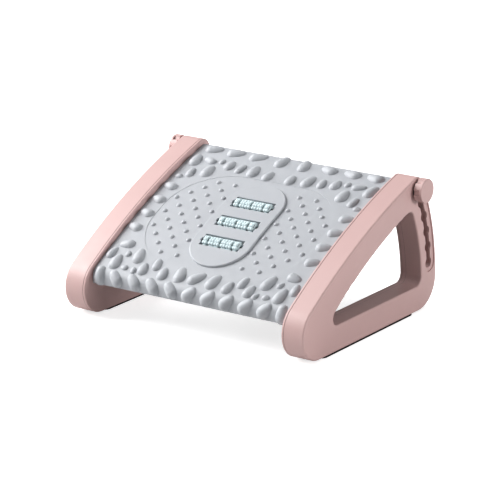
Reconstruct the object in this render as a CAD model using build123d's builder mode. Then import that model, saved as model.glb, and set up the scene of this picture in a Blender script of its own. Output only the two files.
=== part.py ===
from build123d import *
from math import atan2, cos, hypot, radians, sin, sqrt

# Tilting massage footrest. Two looped side frames stand on rubber strips and carry a pebbled platform,
# which swings on a front rod and is clamped at one of six stops by a knob at each side.
# Millimetres; X runs across the footrest, -Y is the front, Z is up, Z = 0 is the floor.

# Side frames
WIDTH = 360.0
FRAME_THICK = 32.0
STRIP_THICK = 2.0
FRONT_BEND_Y = -117.0
FRONT_BEND_R = 35.0
REAR_BEND_Y = 113.0
REAR_BEND_R = 39.0
TOP_BEND_R = 16.5
TOP_SWELL = 900.0
REAR_SWELL = 270.0
WALL = 3.0
COVER_THICK = 3.2
COLLAR_DEEP = 5.8
EDGE_ROUND = 2.2
COVER_ROUND = 1.2
SEAM_V = 0.4

# Triangular opening in each frame
OPENING_SILL = 35.0
OPENING_FRONT_Y = -76.0
OPENING_FRONT_R = 10.0
OPENING_TOP_Y = 86.0
OPENING_TOP_Z = 126.5
OPENING_TOP_R = 10.5
OPENING_REAR_Y = 106.0
OPENING_REAR_R = 11.0
OPENING_TOP_SWELL = 620.0
OPENING_REAR_SWELL = 235.0

# Tilt: swing rod at the front, notched slot at the rear
PIVOT_Y = -99.0
PIVOT_Z = 46.0
ROD_R = 4.0
SLOT_R = 234.5
STOPS = 6
STOP_PITCH = 5.3
LOWEST_STOP = 3.4
BOLT_R = 4.0
RUN_GAP = 0.3
FIT_GAP = 0.08
NECK_W = 2 * (BOLT_R + RUN_GAP)
STOP_R = 7.0
CHANNEL_W = 15.6
CHANNEL_WALL = 2.0
RECESS_W = 24.0
RECESS_DEEP = 1.5
COVER_BOSS_R = 9.0
COVER_BOSS_LONG = 8.0
CLIP_R = 7.5
CLIP_THICK = 1.2
ROD_GROOVE_R = 3.3
ROD_TAIL = 2.0

# Cover screws
SCREW_R = 1.5
SCREW_HEAD_R = 3.4
SCREW_HEAD_TALL = 1.9
SCREW_LONG = 15.0
BOSS_R = 4.0

# Rubber strips
STRIP_W = 22.0
STRIP_FRONT = -107.0
STRIP_REAR = 97.0

# Platform
SIDE_GAP = 1.0
PANEL = 3.0
FOLD_Y = -121.5
FOLD_Z = 53.0
FOLD_R = 14.5
REAR_FOLD_R = 9.0
SADDLE = 1050.0
LIP_Z = 44.5
LIP_EDGE = 1.5
REAR_LIP_DROP = 14.0
PIVOT_LUG_R = 10.0
LUG_LONG = 18.0
RIB = 2.4
RIB_DEEP = 10.0
WEB_X = 50.0
SIDE_RIB_X = (82.0, 114.0)
CROSS_RIB_PITCH = 35.0
CROSS_RIBS = 3

# Massage field: s runs up the slope from the middle roller
FIELD_SHIFT = -14.0
ISLAND_LONG = 158.0
ISLAND_W = 85.0
ISLAND_RISE = 2.5
ISLAND_ROUND = 1.2
DISH_LONG = 180.0
DISH_W = 244.0
DISH_CORNER = 80.0
DISH_DEEP = 0.4
DOT_ROW = 14.0
DOT_ROWS = 5
DOT_STEP = 25.5
DOT_START = 49.0
DOT_BALL_R = 3.4
DOT_TALL = 2.6

# Rollers
ROLLER_PITCH = 37.5
ROLLER_SLOT_LONG = 59.0
ROLLER_SLOT_W = 20.0
NOTCH_LONG = 2.0
AXLE_SINK = 2.5
AXLE_R = 3.0
AXLE_LONG = 66.0
SLEEVE_R = 7.2
NUB_R = 1.9
NUBS = 10
SLEEVE_COLUMNS = (2, 4, 4, 2)
COLUMN = 4.55
SLEEVE_GAP = 0.4
NUB_SETBACK = 2.0

# Roller tray
TRAY_W = 95.0
TRAY_LONG = 116.0
TRAY_FLOOR = 2.0
TRAY_DEEP = 14.5
TRAY_WALL = 3.0
TRAY_END = 54.0
TRAY_SCREW_X = 42.0
TRAY_SCREW_S = 40.0
TRAY_POST_R = 4.0
TRAY_SCREW_LONG = 9.0

# Clamp knobs
KNOB_R = 15.5
KNOB_TALL = 11.0
KNOB_HUB_R = 8.5
KNOB_HUB_TALL = 2.4
KNOB_FLUTES = 6
FLUTE_R = 5.0
FLUTE_DEEP = 2.2
KNOB_CAP = 3.2
WASHER_R = 10.5
WASHER_THICK = 1.6
BOLT_GRIP = 8.5
INSERT_R = 5.2
INSERT_LONG = 14.0
INSERT_INSET = 0.5

# Pebbles: length, width and height of the egg that shows above the panel
LARGE = (27.5, 16.5, 5.2)
MEDIUM = (22.0, 14.5, 4.8)
DROP = (24.0, 16.0, 5.0)
SLIM = (20.5, 11.5, 4.0)
SMALL = (11.5, 9.0, 3.0)
EGG_TAPER = 0.75
EGG_SWELL = 1.3

# Where the pebbles lie on the right half, as x, s and turn from the X axis; the left half mirrors them
LARGE_SPOTS = [
    (25, -100, 75), (98, -84, 75), (124, -100, 85),
    (42, 104, 82), (103, 88, 90), (134, 106, 80),
    (17, 134, 100), (54, 135, 160), (89, 135, 165), (123, 135, 165),
]
MEDIUM_SPOTS = [
    (49, -104, 80), (80, -103, 80), (126, -69, -12),
    (134, -38, 15), (134, -10, 15), (134, 18, 15), (134, 46, 15),
    (81, 107, 90), (17, 100, 95),
]
SLIM_SPOTS = [(65, -92, 80), (138, -87, 98), (114, 110, 20), (62, 104, 98), (124, 79, 83)]
SMALL_SPOTS = [(92, -108, 62), (107, -107, 0), (115, -84, 60), (96, 112, 90), (136, 68, 0)]
CENTRE_PEBBLE = (0, -100, 45)
FRONT_ROW_S = -125.0
FRONT_ROW_PITCH = 28.0
FRONT_ROW_TURN = 41.0
FRONT_ROW_END = 137.0
FRONT_ROW_SIDE = 4

OUTER_X = WIDTH / 2
INNER_X = OUTER_X - FRAME_THICK
SEAM_X = INNER_X + COVER_THICK
PLATE_X = INNER_X - SIDE_GAP
TOP_STOP = LOWEST_STOP + (STOPS - 1) * STOP_PITCH
KNOB_Y = PIVOT_Y + SLOT_R * cos(radians(TOP_STOP))
KNOB_Z = PIVOT_Z + SLOT_R * sin(radians(TOP_STOP))
TOP_BEND_Y = KNOB_Y - 1.5
TOP_BEND_Z = KNOB_Z - 0.5


def belt_run(first, second, swell, grow=0.0):
    """Start, middle and end of the outer run from one pulley to the next, straight where swell is 0."""
    y1, z1, r1 = first
    y2, z2, r2 = second
    r1 = max(r1 + grow, 0.5)
    r2 = max(r2 + grow, 0.5)
    span = hypot(y2 - y1, z2 - z1)
    along_y = (y2 - y1) / span
    along_z = (z2 - z1) / span
    if swell == 0:
        lean = (r1 - r2) / span
        square = sqrt(1 - lean * lean)
        out_y = along_y * lean - along_z * square
        out_z = along_z * lean + along_y * square
        start = (y1 + r1 * out_y, z1 + r1 * out_z)
        end = (y2 + r2 * out_y, z2 + r2 * out_z)
        return start, None, end
    bow = swell + grow
    reach = ((bow - r1) ** 2 - (bow - r2) ** 2 + span * span) / (2 * span)
    drop = sqrt((bow - r1) ** 2 - reach * reach)
    centre = (y1 + reach * along_y + drop * along_z, z1 + reach * along_z - drop * along_y)
    start = beyond(centre, (y1, z1), bow)
    end = beyond(centre, (y2, z2), bow)
    return start, beyond(centre, halfway(start, end), bow), end


def beyond(centre, through, distance):
    """Point at a distance from the centre, on the ray through another point."""
    span = hypot(through[0] - centre[0], through[1] - centre[1])
    ratio = distance / span
    return (centre[0] + (through[0] - centre[0]) * ratio, centre[1] + (through[1] - centre[1]) * ratio)


def halfway(first, second):
    return ((first[0] + second[0]) / 2, (first[1] + second[1]) / 2)


def belt(pulleys, swells, grow=0.0, mode=Mode.ADD):
    """Face inside a belt that runs clockwise round pulleys given as y, z and radius."""
    count = len(pulleys)
    runs = [belt_run(pulleys[n], pulleys[(n + 1) % count], swells[n], grow) for n in range(count)]
    with BuildLine() as outline:
        for n in range(count):
            start, middle, end = runs[n]
            if middle is None:
                Line(start, end)
            else:
                ThreePointArc(start, middle, end)
            y, z, radius = pulleys[(n + 1) % count]
            leave = runs[(n + 1) % count][0]
            crown = beyond((y, z), halfway(end, leave), max(radius + grow, 0.5))
            ThreePointArc(end, crown, leave)
    make_face(outline.edges(), mode=mode)


FRAME_PULLEYS = [
    (FRONT_BEND_Y, STRIP_THICK + FRONT_BEND_R, FRONT_BEND_R),
    (TOP_BEND_Y, TOP_BEND_Z, TOP_BEND_R),
    (REAR_BEND_Y, STRIP_THICK + REAR_BEND_R, REAR_BEND_R),
]
FRAME_SWELLS = [TOP_SWELL, REAR_SWELL, 0]
OPENING_PULLEYS = [
    (OPENING_FRONT_Y, OPENING_SILL + OPENING_FRONT_R, OPENING_FRONT_R),
    (OPENING_TOP_Y, OPENING_TOP_Z, OPENING_TOP_R),
    (OPENING_REAR_Y, OPENING_SILL + OPENING_REAR_R, OPENING_REAR_R),
]
OPENING_SWELLS = [OPENING_TOP_SWELL, OPENING_REAR_SWELL, 0]
FOLD = (FOLD_Y, FOLD_Z, FOLD_R)
REAR_FOLD = (KNOB_Y, KNOB_Z, REAR_FOLD_R)
PLATE_PULLEYS = [
    FOLD,
    REAR_FOLD,
    (KNOB_Y + REAR_FOLD_R - LIP_EDGE, KNOB_Z - REAR_LIP_DROP, LIP_EDGE),
    (PIVOT_Y, PIVOT_Z, PIVOT_LUG_R),
    (FOLD_Y - FOLD_R + LIP_EDGE, LIP_Z + LIP_EDGE, LIP_EDGE),
]
PLATE_SWELLS = [SADDLE, 0, 0, 0, 0]
CAVITY_PULLEYS = [
    FOLD,
    REAR_FOLD,
    (KNOB_Y, KNOB_Z - PIVOT_Z - SLOT_R, REAR_FOLD_R),
    (FOLD_Y, FOLD_Z - PIVOT_Z - SLOT_R, FOLD_R),
]
CAVITY_SWELLS = [SADDLE, 0, 0, 0]

# Crown of the platform: arc centre, and the slope angles where it meets the two folds
CROWN_START, CROWN_MIDDLE, CROWN_END = belt_run(FOLD, REAR_FOLD, SADDLE)
START_TILT = atan2(CROWN_START[0] - FOLD_Y, CROWN_START[1] - FOLD_Z)
END_TILT = atan2(CROWN_END[0] - KNOB_Y, CROWN_END[1] - KNOB_Z)
CROWN_Y = CROWN_START[0] - SADDLE * sin(START_TILT)
CROWN_Z = CROWN_START[1] - SADDLE * cos(START_TILT)
FIELD_TILT = (START_TILT + END_TILT) / 2 + FIELD_SHIFT / SADDLE


def crown_point(s, rise=0.0):
    """Y, Z and tilt of a point on the crown, s along it from the middle roller."""
    tilt = FIELD_TILT + s / SADDLE
    radius = SADDLE + rise
    return CROWN_Y + radius * sin(tilt), CROWN_Z + radius * cos(tilt), tilt


def panel_plane(x, s, turn=0.0, rise=0.0):
    """Plane on the panel's outer face, folds included, with its X axis turned from the footrest's."""
    start_s = (START_TILT - FIELD_TILT) * SADDLE
    if s < start_s:
        tilt = START_TILT - (start_s - s) / FOLD_R
        y = FOLD_Y + (FOLD_R + rise) * sin(tilt)
        z = FOLD_Z + (FOLD_R + rise) * cos(tilt)
    else:
        y, z, tilt = crown_point(s, rise)
    across = cos(radians(turn))
    uphill = sin(radians(turn))
    return Plane(
        origin=(x, y, z),
        x_dir=(across, uphill * cos(tilt), -uphill * sin(tilt)),
        z_dir=(0, sin(tilt), cos(tilt)),
    )


def finish(piece, name):
    """Name a piece and write it out."""
    piece.part.label = name
    export_step(piece.part, "parts/" + name + ".step")


def stop_point(n):
    angle = radians(LOWEST_STOP + n * STOP_PITCH)
    return PIVOT_Y + SLOT_R * cos(angle), PIVOT_Z + SLOT_R * sin(angle)


STOP_ARC = CenterArc((PIVOT_Y, PIVOT_Z), SLOT_R, LOWEST_STOP, TOP_STOP - LOWEST_STOP)
STOP_POINTS = [stop_point(n) for n in range(STOPS)]

# Cover screws sit in the middle of each limb of the frame
SCREW_SPOTS = [
    (FOLD_Y + 3, FOLD_Z + 1),
    (0, (OPENING_SILL + OPENING_TOP_Z) * 0.75),
    (OPENING_TOP_Y - 8, KNOB_Z - 11),
    (REAR_BEND_Y + 16, OPENING_SILL - 11),
    (OPENING_FRONT_Y + 84, OPENING_SILL / 2 + STRIP_THICK / 2),
]
SCREW_PLANES = [Plane((INNER_X, y, z), z_dir=(1, 0, 0)) for y, z in SCREW_SPOTS]
ON_BASE = (Align.CENTER, Align.CENTER, Align.MIN)
UNDER_TOP = (Align.CENTER, Align.CENTER, Align.MAX)

# Right outer shell: hollow looped moulding with its slot guide and screw bosses
with BuildPart() as right_outer_shell:
    with BuildSketch(Plane.YZ.offset(SEAM_X)):
        belt(FRAME_PULLEYS, FRAME_SWELLS)
        belt(OPENING_PULLEYS, OPENING_SWELLS, mode=Mode.SUBTRACT)
    extrude(amount=OUTER_X - SEAM_X)
    fillet(right_outer_shell.faces().sort_by(Axis.X)[-1].edges(), EDGE_ROUND)
    chamfer(right_outer_shell.faces().sort_by(Axis.X)[0].outer_wire().edges(), SEAM_V)
    with BuildSketch(Plane.YZ.offset(SEAM_X)):
        belt(FRAME_PULLEYS, FRAME_SWELLS, -WALL)
        belt(OPENING_PULLEYS, OPENING_SWELLS, WALL, Mode.SUBTRACT)
    extrude(amount=OUTER_X - WALL - SEAM_X, mode=Mode.SUBTRACT)
    with BuildSketch(Plane.YZ.offset(SEAM_X)):
        belt(OPENING_PULLEYS, OPENING_SWELLS, WALL)
        belt(OPENING_PULLEYS, OPENING_SWELLS, 0.0, Mode.SUBTRACT)
    extrude(amount=COLLAR_DEEP, mode=Mode.SUBTRACT)
    with BuildSketch(Plane.YZ.offset(SEAM_X)):
        SlotArc(STOP_ARC, CHANNEL_W + 2 * CHANNEL_WALL)
        with Locations(*SCREW_SPOTS):
            Circle(BOSS_R)
    extrude(amount=OUTER_X - WALL / 2 - SEAM_X)
    with BuildSketch(Plane.YZ.offset(SEAM_X)):
        SlotArc(STOP_ARC, CHANNEL_W)
    extrude(amount=OUTER_X - WALL - RECESS_DEEP - SEAM_X, mode=Mode.SUBTRACT)
    with BuildSketch(Plane.YZ.offset(SEAM_X)):
        with Locations(*SCREW_SPOTS):
            Circle(SCREW_R + FIT_GAP)
    extrude(amount=SCREW_LONG, mode=Mode.SUBTRACT)
    with BuildSketch(Plane.YZ.offset(OUTER_X)):
        SlotArc(STOP_ARC, RECESS_W)
    extrude(amount=-RECESS_DEEP, mode=Mode.SUBTRACT)
    with BuildSketch(Plane.YZ.offset(OUTER_X)):
        SlotArc(STOP_ARC, NECK_W)
        with Locations(*STOP_POINTS):
            Circle(STOP_R)
    extrude(amount=-WALL - 2 * RECESS_DEEP, mode=Mode.SUBTRACT)

# Right inner cover: flat plate with a collar round the opening and a bearing boss for the rod
with BuildPart() as right_inner_cover:
    with BuildSketch(Plane.YZ.offset(INNER_X)):
        belt(FRAME_PULLEYS, FRAME_SWELLS)
        belt(OPENING_PULLEYS, OPENING_SWELLS, mode=Mode.SUBTRACT)
    extrude(amount=COVER_THICK)
    fillet(right_inner_cover.faces().sort_by(Axis.X)[0].edges(), COVER_ROUND)
    chamfer(right_inner_cover.faces().sort_by(Axis.X)[-1].outer_wire().edges(), SEAM_V)
    with BuildSketch(Plane.YZ.offset(SEAM_X)):
        belt(OPENING_PULLEYS, OPENING_SWELLS, WALL)
        belt(OPENING_PULLEYS, OPENING_SWELLS, 0.0, Mode.SUBTRACT)
    extrude(amount=COLLAR_DEEP)
    with BuildSketch(Plane.YZ.offset(SEAM_X)):
        with Locations((PIVOT_Y, PIVOT_Z)):
            Circle(COVER_BOSS_R)
    extrude(amount=COVER_BOSS_LONG)
    with BuildSketch(Plane.YZ.offset(INNER_X)):
        with Locations((PIVOT_Y, PIVOT_Z)):
            Circle(ROD_R + FIT_GAP)
        with Locations(*SCREW_SPOTS):
            Circle(SCREW_R + FIT_GAP)
        SlotArc(STOP_ARC, NECK_W + 1)
    extrude(amount=COVER_THICK + COVER_BOSS_LONG, mode=Mode.SUBTRACT)
    with Locations(*SCREW_PLANES):
        Cone(SCREW_HEAD_R + FIT_GAP, SCREW_R + FIT_GAP, SCREW_HEAD_TALL, align=ON_BASE, mode=Mode.SUBTRACT)

# Right cover screws: countersunk, flush with the inner face
with BuildPart() as right_cover_screws:
    with Locations(*SCREW_PLANES):
        Cone(SCREW_HEAD_R, SCREW_R, SCREW_HEAD_TALL, align=ON_BASE)
        Cylinder(SCREW_R, SCREW_LONG, align=ON_BASE)

# Right rubber strip under the frame
with BuildPart() as right_foot_strip:
    with BuildSketch(Plane.XY):
        with Locations((OUTER_X - FRAME_THICK / 2, (STRIP_FRONT + STRIP_REAR) / 2)):
            RectangleRounded(STRIP_W, STRIP_REAR - STRIP_FRONT, STRIP_W / 4)
    extrude(amount=STRIP_THICK)

# Swing rod through both covers, grooved for its retaining clips
ROD_END = SEAM_X + COVER_BOSS_LONG + CLIP_THICK + ROD_TAIL
with BuildPart() as swing_rod:
    with BuildSketch(Plane.YZ.offset(-ROD_END)):
        with Locations((PIVOT_Y, PIVOT_Z)):
            Circle(ROD_R)
    extrude(amount=2 * ROD_END)
    chamfer(swing_rod.edges().filter_by(GeomType.CIRCLE), 0.6)
    for groove_x in (SEAM_X + COVER_BOSS_LONG, -SEAM_X - COVER_BOSS_LONG - CLIP_THICK):
        with BuildSketch(Plane.YZ.offset(groove_x)):
            with Locations((PIVOT_Y, PIVOT_Z)):
                Circle(ROD_R + 1)
                Circle(ROD_GROOVE_R, mode=Mode.SUBTRACT)
        extrude(amount=CLIP_THICK, mode=Mode.SUBTRACT)

# Right rod clip: open ring in the groove, behind the cover's boss
with BuildPart() as right_rod_clip:
    with BuildSketch(Plane.YZ.offset(SEAM_X + COVER_BOSS_LONG)):
        with Locations((PIVOT_Y, PIVOT_Z)):
            Circle(CLIP_R)
            Circle(ROD_GROOVE_R + FIT_GAP, mode=Mode.SUBTRACT)
        with Locations((PIVOT_Y, PIVOT_Z - CLIP_R)):
            Rectangle(ROD_GROOVE_R * 1.6, 2 * CLIP_R, mode=Mode.SUBTRACT)
    extrude(amount=CLIP_THICK)


def egg(size):
    """Revolved egg, its long axis on X; returns the solid and how far its axis lies under the panel."""
    length, width, height = size
    blunt = (width * width / 4 + height * height) / (2 * height)
    sharp = blunt * EGG_TAPER
    half = length / 2 + 0.5
    blunt_x = blunt - half
    sharp_x = half - sharp
    start, middle, end = belt_run((blunt_x, 0, blunt), (sharp_x, 0, sharp), EGG_SWELL * length)
    with BuildPart() as solid:
        with BuildSketch(Plane.XY):
            with BuildLine():
                ThreePointArc((-half, 0), beyond((blunt_x, 0), halfway((-half, 0), start), blunt), start)
                ThreePointArc(start, middle, end)
                ThreePointArc(end, beyond((sharp_x, 0), halfway(end, (half, 0)), sharp), (half, 0))
                Line((half, 0), (-half, 0))
            make_face()
        revolve(axis=Axis.X)
    return solid.part, blunt - height


def pebble_planes(spots, sink):
    """Planes for a list of pebbles and for their mirror images."""
    planes = []
    for x, s, turn in spots:
        planes.append(panel_plane(x, s, turn, -sink))
        planes.append(panel_plane(-x, s, 180 - turn, -sink))
    return planes


def crown_slab(low, high, half_long, mode=Mode.ADD):
    """Sketch of the band between two heights over the crown, to both sides of the middle roller."""
    with BuildLine() as outline:
        for rise in (low, high):
            ThreePointArc(*[crown_point(s, rise)[:2] for s in (-half_long, 0, half_long)])
        for s in (-half_long, half_long):
            Line(crown_point(s, low)[:2], crown_point(s, high)[:2])
    make_face(outline.edges(), mode=mode)


# Raised island that carries the rollers, bent to the crown
with BuildPart() as island:
    with BuildSketch(Plane.YZ):
        crown_slab(-PANEL / 2, ISLAND_RISE, ISLAND_LONG)
    extrude(amount=ISLAND_W, both=True)
    with BuildSketch(panel_plane(0, 0)):
        SlotOverall(ISLAND_LONG, ISLAND_W, rotation=90)
    extrude(amount=ISLAND_LONG / 4, both=True, mode=Mode.INTERSECT)
    fillet(island.faces().sort_by(SortBy.AREA)[-2:].sort_by(Axis.Z)[-1].edges(), ISLAND_ROUND)

# Shallow dish round the island, in which the dots stand
with BuildPart() as dish:
    with BuildSketch(Plane.YZ):
        crown_slab(-DISH_DEEP, ISLAND_RISE, DISH_LONG)
    extrude(amount=DISH_W, both=True)
    with BuildSketch(panel_plane(0, 0)):
        RectangleRounded(DISH_W, DISH_LONG, DISH_CORNER)
    extrude(amount=ISLAND_LONG / 4, both=True, mode=Mode.INTERSECT)


def dot_planes():
    """Staggered rows of dots at both sides of the island, shorter towards the ends."""
    planes = []
    for row in range(-DOT_ROWS, DOT_ROWS + 1):
        staggered = row % 2 == 0
        start = DOT_START + (DOT_STEP / 2 if staggered else 0.0)
        many = 2 if abs(row) >= DOT_ROWS - 1 else 3
        for n in range(many):
            x = start + n * DOT_STEP
            planes.append(panel_plane(x, row * DOT_ROW, 0, DOT_TALL - DOT_BALL_R - DISH_DEEP))
            planes.append(panel_plane(-x, row * DOT_ROW, 0, DOT_TALL - DOT_BALL_R - DISH_DEEP))
    return planes


ROLLER_S = [-ROLLER_PITCH, 0.0, ROLLER_PITCH]
TRAY_SPOTS = [(x, s) for x in (-TRAY_SCREW_X, TRAY_SCREW_X) for s in (-TRAY_SCREW_S, TRAY_SCREW_S)]
CROSS_RIB_LONG = PLATE_X - PANEL / 2 - WEB_X
CROSS_RIB_S = [n * CROSS_RIB_PITCH for n in range(-CROSS_RIBS, CROSS_RIBS + 1)]
CROSS_RIB_SPOTS = [(side * (WEB_X + CROSS_RIB_LONG / 2), s) for s in CROSS_RIB_S for side in (-1, 1)]
MIDDLE_RIB_S = [s for s in CROSS_RIB_S if abs(s) > TRAY_LONG / 2]
LUG_FACE = INNER_X - RUN_GAP
NOTCH_END = ROLLER_SLOT_LONG + 2 * NOTCH_LONG
FRONT_ROW = [(0, FRONT_ROW_S, FRONT_ROW_TURN)]
FRONT_ROW += [((n + 1) * FRONT_ROW_PITCH, FRONT_ROW_S, FRONT_ROW_TURN) for n in range(FRONT_ROW_SIDE)]

# Platform: pebbled panel, folded down at front and rear, hollow and ribbed below
with BuildPart() as platform:
    with BuildSketch(Plane.YZ):
        belt(PLATE_PULLEYS, PLATE_SWELLS)
    extrude(amount=PLATE_X, both=True)
    add(dish.part, mode=Mode.SUBTRACT)
    pebbles = []
    for size, spots in (
        (LARGE, LARGE_SPOTS), (MEDIUM, MEDIUM_SPOTS), (SLIM, SLIM_SPOTS), (SMALL, SMALL_SPOTS),
        (DROP, FRONT_ROW[1:] + [(FRONT_ROW_END, FRONT_ROW_S, 90)]),
    ):
        solid, sink = egg(size)
        pebbles += [plane.location * solid for plane in pebble_planes(spots, sink)]
    solid, sink = egg(LARGE)
    pebbles.append(panel_plane(*CENTRE_PEBBLE, -sink).location * solid)
    solid, sink = egg(DROP)
    pebbles.append(panel_plane(*FRONT_ROW[0], -sink).location * solid)
    add(pebbles)
    add(island.part)
    with Locations(*dot_planes()):
        Sphere(DOT_BALL_R)
    with BuildSketch(Plane.YZ):
        belt(CAVITY_PULLEYS, CAVITY_SWELLS, -PANEL)
    extrude(amount=PLATE_X - PANEL, both=True, mode=Mode.SUBTRACT)
    for web_x in (-WEB_X, WEB_X):
        with BuildSketch(Plane.YZ.offset(web_x - RIB / 2)):
            belt(PLATE_PULLEYS, PLATE_SWELLS, -PANEL / 2)
        extrude(amount=RIB)
    for rib_x in SIDE_RIB_X:
        for side in (-1, 1):
            with BuildSketch(Plane.YZ.offset(side * rib_x - RIB / 2)):
                belt(PLATE_PULLEYS, PLATE_SWELLS, -PANEL / 2)
                belt(CAVITY_PULLEYS, CAVITY_SWELLS, -PANEL - RIB_DEEP, Mode.SUBTRACT)
            extrude(amount=RIB)
    with Locations(*[panel_plane(x, s, 0, -PANEL / 2) for x, s in CROSS_RIB_SPOTS]):
        Box(CROSS_RIB_LONG, RIB, PANEL / 2 + RIB_DEEP, align=UNDER_TOP)
    with Locations(*[panel_plane(0, s, 0, -PANEL / 2) for s in MIDDLE_RIB_S]):
        Box(2 * WEB_X, RIB, PANEL / 2 + RIB_DEEP, align=UNDER_TOP)
    with Locations(*[panel_plane(x, s, 0, -PANEL / 2) for x, s in TRAY_SPOTS]):
        Cylinder(TRAY_POST_R, TRAY_DEEP - PANEL / 2, align=UNDER_TOP)
    with Locations(*[panel_plane(x, s, 0, -TRAY_DEEP) for x, s in TRAY_SPOTS]):
        Cylinder(SCREW_R + FIT_GAP, TRAY_SCREW_LONG, align=ON_BASE, mode=Mode.SUBTRACT)
    for side in (-1, 1):
        with BuildSketch(Plane.YZ.offset(side * LUG_FACE)):
            with Locations((PIVOT_Y, PIVOT_Z)):
                Circle(PIVOT_LUG_R - LIP_EDGE)
            with Locations((KNOB_Y, KNOB_Z)):
                Circle(REAR_FOLD_R)
        extrude(amount=-side * LUG_LONG)
        with BuildSketch(Plane.YZ.offset(side * LUG_FACE)):
            with Locations((KNOB_Y, KNOB_Z)):
                Circle(INSERT_R + FIT_GAP / 2)
        extrude(amount=-side * (INSERT_INSET + INSERT_LONG), mode=Mode.SUBTRACT)
        with BuildSketch(Plane.YZ.offset(side * LUG_FACE)):
            with Locations((KNOB_Y, KNOB_Z)):
                Circle(BOLT_R + RUN_GAP)
        extrude(amount=-side * LUG_LONG, mode=Mode.SUBTRACT)
    with BuildSketch(Plane.YZ):
        with Locations((PIVOT_Y, PIVOT_Z)):
            Circle(ROD_R + FIT_GAP)
    extrude(amount=INNER_X, both=True, mode=Mode.SUBTRACT)
    with Locations(*[panel_plane(0, s) for s in ROLLER_S]):
        Box(ROLLER_SLOT_LONG, ROLLER_SLOT_W, 4 * PANEL, mode=Mode.SUBTRACT)
    with Locations(*[panel_plane(0, s, 0, -AXLE_SINK) for s in ROLLER_S]):
        Box(NOTCH_END, 2 * (AXLE_R + FIT_GAP), 2 * PANEL, align=ON_BASE, mode=Mode.SUBTRACT)
        Cylinder(AXLE_R + FIT_GAP, AXLE_LONG + 2 * RUN_GAP, rotation=(0, 90, 0), mode=Mode.SUBTRACT)

# Roller tray: curved floor with a walled box, notched for the axles
with BuildPart() as roller_tray:
    with BuildSketch(Plane.YZ):
        crown_slab(-TRAY_DEEP - TRAY_FLOOR, -TRAY_DEEP, TRAY_LONG / 2)
    extrude(amount=TRAY_W / 2, both=True)
    with BuildSketch(Plane.YZ):
        crown_slab(-TRAY_DEEP, -PANEL - FIT_GAP, TRAY_END)
    extrude(amount=AXLE_LONG / 2, both=True)
    with BuildSketch(Plane.YZ):
        crown_slab(-TRAY_DEEP, -PANEL + 1, TRAY_END - TRAY_WALL)
    extrude(amount=AXLE_LONG / 2 - TRAY_WALL, both=True, mode=Mode.SUBTRACT)
    with Locations(*[panel_plane(0, s, 0, -AXLE_SINK) for s in ROLLER_S]):
        Cylinder(AXLE_R + FIT_GAP, TRAY_W, rotation=(0, 90, 0), mode=Mode.SUBTRACT)
        Box(TRAY_W, 2 * (AXLE_R + FIT_GAP), AXLE_SINK, align=ON_BASE, mode=Mode.SUBTRACT)
    with Locations(*[panel_plane(x, s, 0, -TRAY_DEEP) for x, s in TRAY_SPOTS]):
        Cylinder(SCREW_R + FIT_GAP, 3 * TRAY_FLOOR, mode=Mode.SUBTRACT)

# Tray screws: pan heads under the tray, shanks in the platform's posts
with BuildPart() as tray_screws:
    with Locations(*[panel_plane(x, s, 0, -TRAY_DEEP - TRAY_FLOOR - FIT_GAP) for x, s in TRAY_SPOTS]):
        Cylinder(SCREW_HEAD_R, SCREW_HEAD_TALL, align=UNDER_TOP)
        Cylinder(SCREW_R, TRAY_FLOOR + TRAY_SCREW_LONG - 1, align=ON_BASE)


def axle(s):
    """Black roller axle, lying across the footrest."""
    with BuildPart() as rod:
        with Locations(panel_plane(0, s, 0, -AXLE_SINK)):
            Cylinder(AXLE_R, AXLE_LONG, rotation=(0, 90, 0))
        chamfer(rod.edges().filter_by(GeomType.CIRCLE), 0.5)
    return rod


def sleeve(s, start_x, length):
    """Nubbed sleeve on an axle; every other row of nubs stops short of the sleeve's ends."""
    y, z, tilt = crown_point(s, -AXLE_SINK)
    face = Plane((start_x, y, z), x_dir=(0, cos(tilt), -sin(tilt)), z_dir=(1, 0, 0))
    with BuildPart() as tube:
        with BuildSketch(face):
            Circle(SLEEVE_R)
            with PolarLocations(SLEEVE_R, NUBS // 2):
                Circle(NUB_R)
        extrude(amount=length)
        with BuildSketch(face.offset(NUB_SETBACK)):
            with PolarLocations(SLEEVE_R, NUBS // 2, start_angle=360 / NUBS):
                Circle(NUB_R)
        extrude(amount=length - 2 * NUB_SETBACK)
        with BuildSketch(face):
            Circle(AXLE_R + FIT_GAP)
        extrude(amount=length, mode=Mode.SUBTRACT)
    return tube


def across(start_x, end_x, radius, bore=0.0):
    """Round piece on the clamp axis, with a bore where one is given."""
    with BuildSketch(Plane.YZ.offset(start_x)) as disc:
        with Locations((KNOB_Y, KNOB_Z)):
            Circle(radius)
            if bore:
                Circle(bore, mode=Mode.SUBTRACT)
    extrude(disc.sketch, amount=end_x - start_x)


# Right clamp: threaded insert in the platform, washer in the recess, bolt moulded into the knob
WASHER_FACE = OUTER_X - RECESS_DEEP + RUN_GAP + WASHER_THICK
HUB_FACE = WASHER_FACE + FIT_GAP
KNOB_FACE = HUB_FACE + KNOB_HUB_TALL
with BuildPart() as right_clamp_insert:
    insert_end = LUG_FACE - INSERT_INSET
    across(insert_end - INSERT_LONG, insert_end, INSERT_R, BOLT_R + FIT_GAP)

with BuildPart() as right_clamp_washer:
    across(WASHER_FACE - WASHER_THICK, WASHER_FACE, WASHER_R, BOLT_R + 2 * FIT_GAP)

with BuildPart() as right_clamp_bolt:
    across(LUG_FACE - LUG_LONG + RUN_GAP, HUB_FACE + BOLT_GRIP, BOLT_R)
    chamfer(right_clamp_bolt.edges().sort_by(Axis.X)[0], 0.8)

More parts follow.
